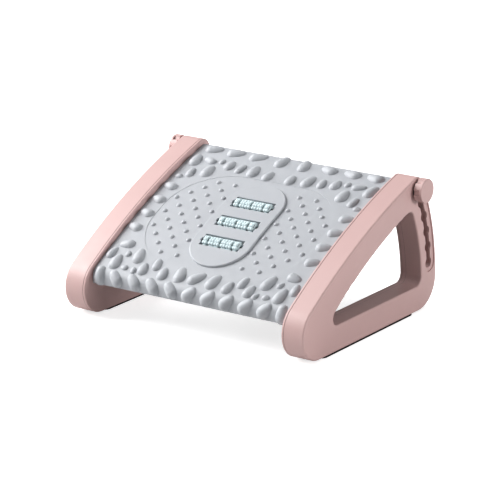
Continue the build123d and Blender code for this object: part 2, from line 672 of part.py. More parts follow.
with BuildPart() as right_knob:
    across(HUB_FACE, KNOB_FACE + KNOB_TALL, KNOB_HUB_R)
    across(KNOB_FACE, KNOB_FACE + KNOB_TALL, KNOB_R)
    fillet(right_knob.edges().sort_by(Axis.X)[-1], 1.2)
    with BuildSketch(Plane.YZ.offset(KNOB_FACE)):
        with Locations((KNOB_Y, KNOB_Z)):
            with PolarLocations(KNOB_R + FLUTE_R - FLUTE_DEEP, KNOB_FLUTES):
                Circle(FLUTE_R)
    extrude(amount=KNOB_TALL - KNOB_CAP, mode=Mode.SUBTRACT)
    with BuildSketch(Plane.YZ.offset(HUB_FACE)):
        with Locations((KNOB_Y, KNOB_Z)):
            Circle(BOLT_R + FIT_GAP / 2)
    extrude(amount=BOLT_GRIP + FIT_GAP, mode=Mode.SUBTRACT)

for name, piece in (
    ("outer_shell", right_outer_shell), ("inner_cover", right_inner_cover),
    ("cover_screws", right_cover_screws), ("foot_strip", right_foot_strip),
    ("rod_clip", right_rod_clip), ("clamp_insert", right_clamp_insert),
    ("clamp_washer", right_clamp_washer), ("clamp_bolt", right_clamp_bolt), ("knob", right_knob),
):
    with BuildPart() as left_piece:
        mirror(piece.part, about=Plane.YZ)
    finish(piece, "right_" + name)
    finish(left_piece, "left_" + name)

finish(swing_rod, "swing_rod")
finish(platform, "platform")
finish(roller_tray, "roller_tray")
finish(tray_screws, "tray_screws")

for row, s in zip(("lower", "middle", "upper"), ROLLER_S):
    finish(axle(s), row + "_axle")
    start_x = -COLUMN * sum(SLEEVE_COLUMNS) / 2
    for n, columns in enumerate(SLEEVE_COLUMNS):
        long = columns * COLUMN
        finish(sleeve(s, start_x + SLEEVE_GAP / 2, long - SLEEVE_GAP), row + "_sleeve_" + str(n + 1))
        start_x += long
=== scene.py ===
from math import cos, pi, radians, sin

import bmesh
import bpy
from mathutils import Matrix, Vector


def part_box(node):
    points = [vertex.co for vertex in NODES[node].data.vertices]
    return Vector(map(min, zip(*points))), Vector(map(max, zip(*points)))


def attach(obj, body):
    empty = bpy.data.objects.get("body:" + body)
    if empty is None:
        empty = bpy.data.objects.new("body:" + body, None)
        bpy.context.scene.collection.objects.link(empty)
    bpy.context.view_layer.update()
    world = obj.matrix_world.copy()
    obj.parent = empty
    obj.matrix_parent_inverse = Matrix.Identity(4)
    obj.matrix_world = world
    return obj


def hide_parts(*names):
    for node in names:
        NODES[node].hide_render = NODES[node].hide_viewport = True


bl_info = {
    "name": "Massage Footrest",
    "version": (1, 0, 0),
    "blender": (4, 5, 0),
    "location": "View3D > Sidebar > Footrest",
    "description": "Dresses a tilting massage footrest with nubbed rollers and moulded finishes",
    "category": "Object",
}

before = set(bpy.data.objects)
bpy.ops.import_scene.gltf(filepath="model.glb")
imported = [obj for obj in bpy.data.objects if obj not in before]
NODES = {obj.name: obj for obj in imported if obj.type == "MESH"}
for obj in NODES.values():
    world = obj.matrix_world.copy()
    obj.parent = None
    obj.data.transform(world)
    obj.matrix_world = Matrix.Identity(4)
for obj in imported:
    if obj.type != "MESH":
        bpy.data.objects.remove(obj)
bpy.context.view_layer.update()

MM = 0.001
X_AXIS = Vector((1, 0, 0))
WHITE = (1.0, 1.0, 1.0, 1.0)
SIDES = ("left", "right")
ROLLERS = ("lower", "middle", "upper")
SLEEVES = (1, 2, 3, 4)

# Meshes: merged corners of CAD nodes and of new pieces, and the angle from which edges look sharp
CAD_MERGE = 0.01 * MM
MERGE = 0.001 * MM
SHARP_ANGLE = radians(40)

# Finishes: gloss is a pair of roughness values that a noise moves between
NOISE_RANGE = (0.3, 0.7)
SATIN = (0.42, 0.52)
PLATED = (0.25, 0.4)
BLUSH_SPECULAR = 0.55
GRAIN_DEPTH = 0.05 * MM
LINE_BUMP = 0.1
LINE_DEPTH = 0.03 * MM
LINE_STRETCH = (0.06, 1.0, 1.0)
GLOW_DEPTH = 1.5 * MM
RIB_PITCH = 2 * MM
THREAD_PITCH = 1.25 * MM

# Parting lines: how dark, and how far from the line the dark ends and the plain colour begins
SEAM_SHADE = 0.6
SEAM_DARK = 0.2 * MM
SEAM_PLAIN = 0.6 * MM

# Strips: segments of the corners and edges, and the least angle of an edge that is rounded
CORNER_SEGMENTS = 8
EDGE_SEGMENTS = 2
RIM_ANGLE = 1.0

# Sleeves: their end rounding, gap to the axle, depth of a nub's foot, and the painted shade between
# nubs
SLEEVE_STEPS = 40
SLEEVE_EDGE = 0.4 * MM
BORE_GAP = 0.08 * MM
NUB_FOOT = 0.3 * MM
# Painted shade: how dark the mint is painted low between nubs, and the height share where that
# darkening fades out
PAINTED_GROOVE_SHADE = 0.1
PAINTED_GROOVE_TOP = 0.25

# Screws: rim of a sunk head, a pan head's outline in shares of its height and radius, and
# how much the cross recess narrows
SCREW_STEPS = 32
SUNK_RIM = 0.96
PAN_HEAD = ((0.0, 0.7), (0.15, 0.88), (0.4, 0.98), (0.6, 1.0), (1.0, 1.0))
CROSS_TAPER = 0.6

# Stage: half of the floor's side, places and sizes of the lights, what they and the camera face
FLOOR_SIZE = 8.0
FLOOR_ROUGHNESS = 0.9
FLOOR_SPECULAR = 0.1
KEY_PLACE = (-2.5, -0.7, 1.9)
KEY_SIZE = 2.6
FILL_PLACE = (3.85, 0.6, 0.95)
FILL_SIZE = 1.2
LIGHT_AIM = Vector((0.0, 0.0, 0.1))
CAMERA_AIM = Vector((0.0, -3.0 * MM, 0.0))
SENSOR_WIDTH = 36.0
VIEW_END = 50.0


def middle(name):
    """Centre of a CAD node's box."""
    low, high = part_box(name)
    return (low + high) / 2


def both(name):
    """Names of a piece at both sides."""
    return [side + "_" + name for side in SIDES]


def solids(name):
    """Corners of each separate solid in a CAD node."""
    mesh = bmesh.new()
    mesh.from_mesh(NODES[name].data)
    mesh.transform(NODES[name].matrix_world)
    bmesh.ops.remove_doubles(mesh, verts=mesh.verts, dist=CAD_MERGE)
    done = set()
    found = []
    for start in mesh.verts:
        if start in done:
            continue
        done.add(start)
        queue = [start]
        corners = []
        while queue:
            corner = queue.pop()
            corners.append(corner.co.copy())
            fresh = [edge.other_vert(corner) for edge in corner.link_edges]
            fresh = [other for other in fresh if other not in done]
            done.update(fresh)
            queue += fresh
        found.append(corners)
    mesh.free()
    return found


# Settings that a user would change


class FootrestFinish(bpy.types.PropertyGroup):
    """Colours and surface of the moulded, turned and plated pieces."""

    frame_colour: bpy.props.FloatVectorProperty(
        name="Frame colour", description="Blush plastic of the side frames and knobs",
        subtype="COLOR", size=3, min=0.0, max=1.0, default=(0.585, 0.405, 0.391),
    )
    platform_colour: bpy.props.FloatVectorProperty(
        name="Platform colour", description="Cool grey plastic of the pebbled platform",
        subtype="COLOR", size=3, min=0.0, max=1.0, default=(0.458, 0.472, 0.497),
    )
    sleeve_colour: bpy.props.FloatVectorProperty(
        name="Sleeve colour", description="Pale mint of the soft roller sleeves",
        subtype="COLOR", size=3, min=0.0, max=1.0, default=(0.645, 0.755, 0.78),
    )
    black_colour: bpy.props.FloatVectorProperty(
        name="Black colour", description="Roller axles and the tray under them",
        subtype="COLOR", size=3, min=0.0, max=1.0, default=(0.012, 0.013, 0.014),
    )
    rubber_colour: bpy.props.FloatVectorProperty(
        name="Rubber colour", description="Strips under the side frames",
        subtype="COLOR", size=3, min=0.0, max=1.0, default=(0.014, 0.013, 0.013),
    )
    steel_colour: bpy.props.FloatVectorProperty(
        name="Steel colour", description="Zinc-plated screws, rod, clips, bolts and washers",
        subtype="COLOR", size=3, min=0.0, max=1.0, default=(0.56, 0.57, 0.58),
    )
    brass_colour: bpy.props.FloatVectorProperty(
        name="Brass colour", description="Threaded inserts in the platform",
        subtype="COLOR", size=3, min=0.0, max=1.0, default=(0.62, 0.44, 0.18),
    )
    collar: bpy.props.FloatProperty(
        name="Collar",
        description="How far a cover's collar reaches into the opening from the parting line",
        subtype="DISTANCE", unit="LENGTH", min=0.0, default=5.8 * MM,
    )
    grain: bpy.props.FloatProperty(
        name="Grain", description="Size of the grain on moulded surfaces",
        subtype="DISTANCE", unit="LENGTH", min=0.0001, default=0.9 * MM,
    )


class FootrestSleeve(bpy.types.PropertyGroup):
    """Nubs of the roller sleeves."""

    nubs: bpy.props.IntProperty(
        name="Nubs", description="Nubs round each ring", min=4, max=24, default=10,
    )
    column: bpy.props.FloatProperty(
        name="Column", description="Distance from one ring of nubs to the next",
        subtype="DISTANCE", unit="LENGTH", default=4.5 * MM,
    )
    core_radius: bpy.props.FloatProperty(
        name="Core radius", description="Radius of the sleeve between its nubs",
        subtype="DISTANCE", unit="LENGTH", default=6.7 * MM,
    )
    nub_length: bpy.props.FloatProperty(
        name="Nub half length", description="Half of a nub's length along the axle",
        subtype="DISTANCE", unit="LENGTH", default=2.9 * MM,
    )
    nub_width: bpy.props.FloatProperty(
        name="Nub half width", description="Half of a nub's width round the sleeve",
        subtype="DISTANCE", unit="LENGTH", default=2.75 * MM,
    )
    setback: bpy.props.FloatProperty(
        name="Setback", description="How far every other row stays back from the sleeve's ends",
        subtype="DISTANCE", unit="LENGTH", default=0.65 * MM,
    )


class FootrestStrip(bpy.types.PropertyGroup):
    """Rubber strips under the side frames."""

    width: bpy.props.FloatProperty(
        name="Width", description="Width of a strip, a little less than the frame's",
        subtype="DISTANCE", unit="LENGTH", default=30.4 * MM,
    )
    edge: bpy.props.FloatProperty(
        name="Edge", description="Rounding of a strip's edges",
        subtype="DISTANCE", unit="LENGTH", default=0.3 * MM,
    )
    reach: bpy.props.FloatProperty(
        name="Reach", description="How far a strip runs on towards the rear bend",
        subtype="DISTANCE", unit="LENGTH", default=4.0 * MM,
    )


class FootrestScrew(bpy.types.PropertyGroup):
    """Cross-recessed screws."""

    shank_radius: bpy.props.FloatProperty(
        name="Shank radius", description="Radius of a screw's shank",
        subtype="DISTANCE", unit="LENGTH", default=1.5 * MM,
    )
    head_height: bpy.props.FloatProperty(
        name="Head height", description="Height of a screw's head",
        subtype="DISTANCE", unit="LENGTH", default=1.9 * MM,
    )
    slot_length: bpy.props.FloatProperty(
        name="Slot length", description="Length of one arm of the cross recess from its middle",
        subtype="DISTANCE", unit="LENGTH", default=1.8 * MM,
    )
    slot_width: bpy.props.FloatProperty(
        name="Slot width", description="Width of one arm of the cross recess",
        subtype="DISTANCE", unit="LENGTH", default=0.9 * MM,
    )
    slot_depth: bpy.props.FloatProperty(
        name="Slot depth", description="Depth of the cross recess",
        subtype="DISTANCE", unit="LENGTH", default=1.1 * MM,
    )


class FootrestStage(bpy.types.PropertyGroup):
    """Floor, light and camera."""

    floor_colour: bpy.props.FloatVectorProperty(
        name="Floor colour", description="Plain floor under the footrest",
        subtype="COLOR", size=3, min=0.0, max=1.0, default=(0.7, 0.7, 0.7),
    )
    floor_glow: bpy.props.FloatProperty(
        name="Floor glow", description="Even brightness of the paper floor as the camera sees it",
        min=0.0, default=0.6,
    )
    sky: bpy.props.FloatProperty(
        name="Sky", description="Strength of the even light all round", min=0.0, default=0.3,
    )
    key_power: bpy.props.FloatProperty(
        name="Key power", description="Power of the large light at the upper left",
        subtype="POWER", unit="POWER", min=0.0, default=160.0,
    )
    fill_power: bpy.props.FloatProperty(
        name="Fill power", description="Power of the weak light at the right",
        subtype="POWER", unit="POWER", min=0.0, default=59.0,
    )
    azimuth: bpy.props.FloatProperty(
        name="Azimuth", description="Camera's turn to the right of the footrest's front",
        subtype="ANGLE", unit="ROTATION", default=radians(34.66),
    )
    elevation: bpy.props.FloatProperty(
        name="Elevation", description="Camera's height over the horizon",
        subtype="ANGLE", unit="ROTATION", default=radians(17.12),
    )
    distance: bpy.props.FloatProperty(
        name="Distance", description="From the camera to the footrest's middle",
        subtype="DISTANCE", unit="LENGTH", default=3.521,
    )
    lens: bpy.props.FloatProperty(
        name="Lens", description="Focal length on a 36 mm frame",
        subtype="DISTANCE_CAMERA", default=200.2,
    )
    raise_by: bpy.props.FloatProperty(
        name="Raise", description="How far the camera's axis passes over the floor's middle",
        subtype="DISTANCE", unit="LENGTH", default=76.3 * MM,
    )


# Shader nodes and node groups


def wire(tree, *pairs):
    """Links outputs to inputs, given in pairs."""
    for start, end in zip(pairs[::2], pairs[1::2]):
        tree.links.new(start, end)


def node(tree, kind, **values):
    """New shader node with its own settings."""
    made = tree.nodes.new(kind)
    for name, value in values.items():
        setattr(made, name, value)
    return made


def set_inputs(made, **values):
    """Sets a node's inputs, named with _ for a space."""
    for name, value in values.items():
        made.inputs[name.replace("_", " ")].default_value = value


def object_place(tree):
    """Place on the piece, in its own coordinates."""
    return node(tree, "ShaderNodeTexCoord").outputs["Object"]


def camera_ray(tree):
    """One for what the camera sees directly, else nought."""
    return node(tree, "ShaderNodeLightPath").outputs["Is Camera Ray"]


def noise(tree, place, scale=1.0, detail=2.0, rough=0.5):
    """Noise texture on a place, its scale in cells per metre."""
    made = node(tree, "ShaderNodeTexNoise")
    set_inputs(made, Scale=scale, Detail=detail, Roughness=rough)
    wire(tree, place, made.inputs["Vector"])
    return made


def over_noise(tree, fac):
    """Map Range node over the values that a noise mostly has."""
    made = node(tree, "ShaderNodeMapRange")
    set_inputs(made, From_Min=NOISE_RANGE[0], From_Max=NOISE_RANGE[1])
    wire(tree, fac, made.inputs["Value"])
    return made


def spread(tree, fac, low, high):
    """Maps a noise to a pair of values."""
    made = over_noise(tree, fac)
    set_inputs(made, To_Min=low, To_Max=high)
    return made.outputs["Result"]


def socket(group, name, kind, direction, value=None):
    """Named input or output of a node group."""
    made = group.interface.new_socket(name=name, in_out=direction, socket_type=kind)
    if value is not None:
        made.default_value = value


def surface_group(name, inputs):
    """Node group for a surface, with the ends of its inputs and outputs."""
    group = bpy.data.node_groups.new(name, "ShaderNodeTree")
    socket(group, "Colour", "NodeSocketColor", "INPUT", WHITE)
    for label, value in inputs.items():
        socket(group, label, "NodeSocketFloat", "INPUT", value)
    socket(group, "Colour", "NodeSocketColor", "OUTPUT")
    socket(group, "Roughness", "NodeSocketFloat", "OUTPUT")
    socket(group, "Height", "NodeSocketFloat", "OUTPUT")
    return group, node(group, "NodeGroupInput").outputs, node(group, "NodeGroupOutput").inputs


def finish_group(group, start, end, value, gloss, height):
    """Tints a surface group's colour by a value, and wires its gloss and height."""
    tint = node(group, "ShaderNodeHueSaturation")
    shine = over_noise(group, gloss)
    wire(
        group, start["Colour"], tint.inputs["Color"],
        value, tint.inputs["Value"],
        start["Gloss low"], shine.inputs["To Min"],
        start["Gloss high"], shine.inputs["To Max"],
        tint.outputs["Color"], end["Colour"],
        shine.outputs["Result"], end["Roughness"],
        height, end["Height"],
    )


def moulded_group(name):
    """Injection-moulded surface: fine grain, faint clouds of colour and gloss."""
    inputs = {"Shade": 0.04, "Gloss low": 0.4, "Gloss high": 0.5, "Grain scale": 1000.0}
    group, start, end = surface_group(name, inputs)
    place = object_place(group)
    clouds = noise(group, place, scale=14.0, detail=3.0)
    flow = noise(group, place, scale=55.0)
    grain = noise(group, place, rough=0.6)
    shaded = node(group, "ShaderNodeMath", operation="MULTIPLY")
    bright = node(group, "ShaderNodeMath", operation="SUBTRACT")
    bright.inputs[0].default_value = 1.0
    wire(
        group, start["Grain scale"], grain.inputs["Scale"],
        spread(group, clouds.outputs["Fac"], 0.0, 1.0), shaded.inputs[0],
        start["Shade"], shaded.inputs[1],
        shaded.outputs[0], bright.inputs[1],
    )
    height = grain.outputs["Fac"]
    finish_group(group, start, end, bright.outputs[0], flow.outputs["Fac"], height)
    return group


def drawn_group(name):
    """Drawn or turned metal: fine lines along X and faint stains."""
    group, start, end = surface_group(name, {"Gloss low": 0.25, "Gloss high": 0.4})
    place = object_place(group)
    stretch = node(group, "ShaderNodeMapping")
    set_inputs(stretch, Scale=LINE_STRETCH)
    wire(group, place, stretch.inputs["Vector"])
    lines = noise(group, stretch.outputs["Vector"], scale=2600.0, detail=3.0, rough=0.6)
    stains = noise(group, place, scale=120.0, detail=3.0)
    bright = spread(group, stains.outputs["Fac"], 0.88, 1.08)
    finish_group(group, start, end, bright, lines.outputs["Fac"], lines.outputs["Fac"])
    return group


def group_once(name, build):
    """Shader node group by name, built at its first use."""
    return bpy.data.node_groups.get(name) or build(name)


# Materials


def bare_material(name):
    """Material with only its surface shader and output."""
    made = bpy.data.materials.new(name)
    made.use_nodes = True
    tree = made.node_tree
    tree.nodes.clear()
    shader = node(tree, "ShaderNodeBsdfPrincipled")
    wire(tree, shader.outputs["BSDF"], node(tree, "ShaderNodeOutputMaterial").inputs["Surface"])
    return made, tree, shader


def surfaced(name, group, colour, gloss):
    """Material whose colour and roughness come from a surface group."""
    made, tree, shader = bare_material(name)
    surface = node(tree, "ShaderNodeGroup", node_tree=group)
    set_inputs(surface, Colour=(*colour, 1.0), Gloss_low=gloss[0], Gloss_high=gloss[1])
    wire(
        tree, surface.outputs["Colour"], shader.inputs["Base Color"],
        surface.outputs["Roughness"], shader.inputs["Roughness"],
    )
    return made, tree, shader, surface


def rough_up(tree, shader, height, strength, depth):
    """Bump on a shader from a height."""
    bump = node(tree, "ShaderNodeBump")
    set_inputs(bump, Strength=strength, Distance=depth)
    wire(tree, height, bump.inputs["Height"], bump.outputs["Normal"], shader.inputs["Normal"])


def bands(tree, direction, pitch):
    """Height of even ridges across an axis."""
    waves = node(
        tree, "ShaderNodeTexWave", wave_type="BANDS", bands_direction=direction, wave_profile="TRI",
    )
    # At a scale of 1, Blender's bands are pi / 10 apart
    set_inputs(waves, Scale=pi / (10.0 * pitch))
    wire(tree, object_place(tree), waves.inputs["Vector"])
    return waves.outputs["Fac"]


def moulded(
    name, colour, grain, gloss, shade=0.04, bump=0.12, specular=0.5, glow=0.0, ribs=0.0,
):
    """Moulded plastic or rubber, with ribs across Y where a pitch is given."""
    if name in bpy.data.materials:
        return bpy.data.materials[name]
    group = group_once("Moulded surface", moulded_group)
    made, tree, shader, surface = surfaced(name, group, colour, gloss)
    set_inputs(surface, Shade=shade, Grain_scale=1.0 / grain)
    set_inputs(
        shader, Specular_IOR_Level=specular, Subsurface_Weight=glow,
        Subsurface_Radius=(1.0, 1.0, 1.0), Subsurface_Scale=GLOW_DEPTH,
    )
    if ribs:
        rough_up(tree, shader, bands(tree, "Y", ribs), 1.0, ribs / 3)
    else:
        rough_up(tree, shader, surface.outputs["Height"], bump, GRAIN_DEPTH)
    return made


def blush(name, finish):
    """Blush plastic of the frames and knobs."""
    return moulded(name, finish.frame_colour, finish.grain, SATIN, specular=BLUSH_SPECULAR)


def drawn(name, colour, threads=0.0):
    """Drawn metal, with thread lines across X where a pitch is given."""
    if name in bpy.data.materials:
        return bpy.data.materials[name]
    group = group_once("Drawn metal", drawn_group)
    made, tree, shader, surface = surfaced(name, group, colour, PLATED)
    set_inputs(shader, Metallic=1.0)
    if threads:
        rough_up(tree, shader, bands(tree, "X", threads), 1.0, threads / 2)
    else:
        rough_up(tree, shader, surface.outputs["Height"], LINE_BUMP, LINE_DEPTH)
    return made


def darken(material, value, shade, start, stop):
    """Multiplies a colour by a shade up to a start value, and by one from a stop value on. It draws
    the dark parting lines, and the painted shade between the sleeve nubs.
    """
    tree = material.node_tree
    shader = next(each for each in tree.nodes if each.bl_idname == "ShaderNodeBsdfPrincipled")
    plain = shader.inputs["Base Color"].links[0].from_socket
    if plain.node.bl_idname == "ShaderNodeHueSaturation":
        return
    depth = node(tree, "ShaderNodeMapRange")
    set_inputs(depth, From_Min=start, From_Max=stop, To_Min=shade)
    tint = node(tree, "ShaderNodeHueSaturation")
    wire(
        tree, value, depth.inputs["Value"],
        depth.outputs["Result"], tint.inputs["Value"],
        plain, tint.inputs["Color"],
        tint.outputs["Color"], shader.inputs["Base Color"],
    )


def dress(names, material):
    """Gives CAD nodes a finish."""
    for name in names:
        slots = NODES[name].data.materials
        slots.clear()
        slots.append(material)


# Meshes


def finished_piece(name, mesh, material, body, slot, *nodes):
    """Links a finished bmesh as a piece that stands for CAD nodes."""
    bmesh.ops.remove_doubles(mesh, verts=mesh.verts, dist=MERGE)
    bmesh.ops.recalc_face_normals(mesh, faces=mesh.faces)
    data = bpy.data.meshes.new(name)
    mesh.to_mesh(data)
    mesh.free()
    data.materials.append(material)
    data.shade_smooth()
    data.set_sharp_from_angle(angle=SHARP_ANGLE)
    piece = bpy.data.objects.new(name, data)
    bpy.context.scene.collection.objects.link(piece)
    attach(piece, body)
    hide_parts(*nodes)


def round_edges(mesh, edges, radius, segments):
    """Rounds edges of a bmesh."""
    bmesh.ops.bevel(
        mesh, geom=edges, offset=radius, offset_type="OFFSET", affect="EDGES",
        segments=segments, profile=0.5, material=-1,
    )


def tube(mesh, outline, centre, steps, closed=True):
    """Full turn of an outline, given as points along X and out from the axis."""
    corners = [mesh.verts.new(centre + Vector((x, 0, radius))) for x, radius in outline]
    first = 0 if closed else 1
    edges = [mesh.edges.new((corners[n - 1], corners[n])) for n in range(first, len(corners))]
    bmesh.ops.spin(
        mesh, geom=corners + edges, cent=centre, axis=X_AXIS, angle=2 * pi, steps=steps,
        use_merge=True,
    )


# Operators, one for each piece or group of like pieces


class FOOTREST_OT_frames(bpy.types.Operator):
    """Finish the shells and covers of the side frames"""

    bl_idname = "footrest.frames"
    bl_label = "Side Frames"

    def from_seam(self, tree, seam):
        """Distance across X from a seam that both frames have."""
        parts = node(tree, "ShaderNodeSeparateXYZ")
        side = node(tree, "ShaderNodeMath", operation="ABSOLUTE")
        past = node(tree, "ShaderNodeMath", operation="SUBTRACT")
        past.inputs[1].default_value = seam
        away = node(tree, "ShaderNodeMath", operation="ABSOLUTE")
        wire(
            tree, object_place(tree), parts.inputs["Vector"],
            parts.outputs["X"], side.inputs[0],
            side.outputs[0], past.inputs[0],
            past.outputs[0], away.inputs[0],
        )
        return away.outputs[0]

    def seamed(self, name, finish, first, *others):
        """Blush plastic with a dark line along each seam."""
        made = blush(name, finish)
        tree = made.node_tree
        nearest = self.from_seam(tree, first)
        for seam in others:
            nearer = node(tree, "ShaderNodeMath", operation="MINIMUM")
            wire(tree, nearest, nearer.inputs[0], self.from_seam(tree, seam), nearer.inputs[1])
            nearest = nearer.outputs[0]
        darken(made, nearest, SEAM_SHADE, SEAM_DARK, SEAM_PLAIN)
        return made

    def execute(self, context):
        finish = context.scene.footrest_finish
        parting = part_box("right_outer_shell")[0].x
        shell = self.seamed("Blush frame", finish, parting)
        cover = self.seamed("Blush cover", finish, parting, parting + finish.collar)
        dress(both("outer_shell"), shell)
        dress(both("inner_cover"), cover)
        return {"FINISHED"}


class FOOTREST_OT_strips(bpy.types.Operator):
    """Build the rubber strips under the side frames"""

    bl_idname = "footrest.strips"
    bl_label = "Rubber Strips"

    def strip(self, name, settings, material):
        """Strip with rounded corners in the place of its CAD node."""
        low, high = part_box(name)
        high.y += settings.reach
        size = high - low
        size.x = settings.width
        place = Matrix.Translation((low + high) / 2) @ Matrix.Diagonal((*size, 1.0))
        mesh = bmesh.new()
        bmesh.ops.create_cube(mesh, size=1.0, matrix=place)
        upright = [
            edge for edge in mesh.edges
            if abs(edge.verts[0].co.z - edge.verts[1].co.z) > size.z / 2
        ]
        round_edges(mesh, upright, settings.width / 4, CORNER_SEGMENTS)
        rims = [edge for edge in mesh.edges if edge.calc_face_angle() > RIM_ANGLE]
        round_edges(mesh, rims, settings.edge, EDGE_SEGMENTS)
        finished_piece(name + "_ribbed", mesh, material, "side_frames", "strip_rubber", name)

    def execute(self, context):
        finish = context.scene.footrest_finish
        rubber = moulded(
            "Strip rubber", finish.rubber_colour, finish.grain / 2,
            gloss=(0.7, 0.85), shade=0.2, specular=0.1, ribs=RIB_PITCH,
        )
        for name in both("foot_strip"):
            self.strip(name, context.scene.footrest_strip, rubber)
        return {"FINISHED"}


class FOOTREST_OT_platform(bpy.types.Operator):
    """Finish the pebbled platform"""

    bl_idname = "footrest.platform"
    bl_label = "Platform"

    def execute(self, context):
        finish = context.scene.footrest_finish
        grey = moulded(
            "Cool grey plastic", finish.platform_colour, finish.grain,
            gloss=SATIN, shade=0.03, specular=0.3, glow=0.9,
        )
        dress(["platform"], grey)
        return {"FINISHED"}


class FOOTREST_OT_rollers(bpy.types.Operator):
    """Build the nubbed sleeves and finish their axles and tray"""

    bl_idname = "footrest.rollers"
    bl_label = "Rollers"

    def nub(self, mesh, centre, x, reach, turn, sizes):
        """One rounded nub, its height out from the axle."""
        out = Vector((0, sin(turn), cos(turn)))
        place = Matrix.Translation(centre + Vector((x, 0, 0)) + reach * out)
        shape = Matrix.Rotation(-turn, 4, "X") @ Matrix.Diagonal((*sizes, 1.0))
        bmesh.ops.create_icosphere(mesh, subdivisions=2, radius=1.0, matrix=place @ shape)

    def mark_painted_shade(self, mesh, centre, half, core, top):
        """Stores each corner's rise, from 0 at the core to 1 at a nub's top and at the ends, as the
        mask for the painted shade between nubs.
        """
        rise = mesh.verts.layers.float.new("rise")
        for corner in mesh.verts:
            out = corner.co - centre
            at_end = abs(out.x) > half - 0.5 * SLEEVE_EDGE
            radius = out.cross(X_AXIS).length
            corner[rise] = 1.0 if at_end else (radius - core) / (top - core)

    def sleeve(self, roller, number, settings, bore, material):
        """Sleeve in the place of its CAD node, ring by ring."""
        name = roller + "_sleeve_" + str(number)
        low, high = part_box(name)
        centre = middle(roller + "_axle")
        centre.x = (low.x + high.x) / 2
        half = (high.x - low.x) / 2
        top = (high.z - low.z) / 2
        core = settings.core_radius
        edge = SLEEVE_EDGE
        end = [(half - 2 * edge, core), (half - edge, core), (half, core - edge), (half, bore)]
        other_end = [(-x, radius) for x, radius in reversed(end)]
        mesh = bmesh.new()
        tube(mesh, other_end + end, centre, SLEEVE_STEPS)
        columns = round(2 * half / settings.column)
        pitch = 2 * half / columns
        inset = settings.nub_length - pitch / 2
        height = top - core + NUB_FOOT
        sizes = (settings.nub_length, settings.nub_width, height)
        for column in range(columns):
            x = (column + 0.5) * pitch - half
            inward = (column == 0) - (column == columns - 1)
            for row in range(settings.nubs):
                shift = inward * (inset + settings.setback * (row % 2))
                turn = 2 * pi * row / settings.nubs
                self.nub(mesh, centre, x + shift, top - height, turn, sizes)
        self.mark_painted_shade(mesh, centre, half, core, top)
        finished_piece(
            name + "_nubbed", mesh, material, roller + "_roller", "sleeve_rubber", name,
        )

    def execute(self, context):
        finish = context.scene.footrest_finish
        mint = moulded(
            "Mint sleeve", finish.sleeve_colour, finish.grain / 2,
            gloss=(0.5, 0.62), shade=0.06, bump=0.05, specular=0.4, glow=0.1,
        )
        # Painted shade: the mint is darkened towards black where a corner lies low between the nubs
        # and in the slits at the sleeve joints, standing in for the shadow there
        rise = node(mint.node_tree, "ShaderNodeAttribute", attribute_name="rise")
        darken(mint, rise.outputs["Fac"], PAINTED_GROOVE_SHADE, 0.0, PAINTED_GROOVE_TOP)
        coating = moulded(
            "Black coating", finish.black_colour, finish.grain / 2,
            gloss=(0.3, 0.45), shade=0.2, bump=0.15,
        )
        plastic = moulded(
            "Black plastic", finish.black_colour, finish.grain,
            gloss=(0.5, 0.65), shade=0.2, bump=0.2,
        )
        low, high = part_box("middle_axle")
        bore = (high.y - low.y) / 2 + BORE_GAP
        for roller in ROLLERS:
            for number in SLEEVES:
                self.sleeve(roller, number, context.scene.footrest_sleeve, bore, mint)
        dress([roller + "_axle" for roller in ROLLERS], coating)
        dress(["roller_tray"], plastic)
        return {"FINISHED"}


class FOOTREST_OT_clamps(bpy.types.Operator):
    """Finish the knobs, washers, bolts and inserts that hold the tilt"""

    bl_idname = "footrest.clamps"
    bl_label = "Clamp Knobs"

    def execute(self, context):
        finish = context.scene.footrest_finish
        threaded = drawn("Threaded steel", finish.steel_colour, THREAD_PITCH)
        dress(both("knob"), blush("Blush knob", finish))
        dress(both("clamp_washer"), drawn("Plated steel", finish.steel_colour))
        dress(both("clamp_bolt"), threaded)
        dress(both("clamp_insert"), drawn("Turned brass", finish.brass_colour))
        return {"FINISHED"}


class FOOTREST_OT_rod(bpy.types.Operator):
    """Finish the swing rod and its clips"""

    bl_idname = "footrest.rod"
    bl_label = "Swing Rod"

    def execute(self, context):
        steel = drawn("Plated steel", context.scene.footrest_finish.steel_colour)
        dress(both("rod_clip") + ["swing_rod"], steel)
        return {"FINISHED"}


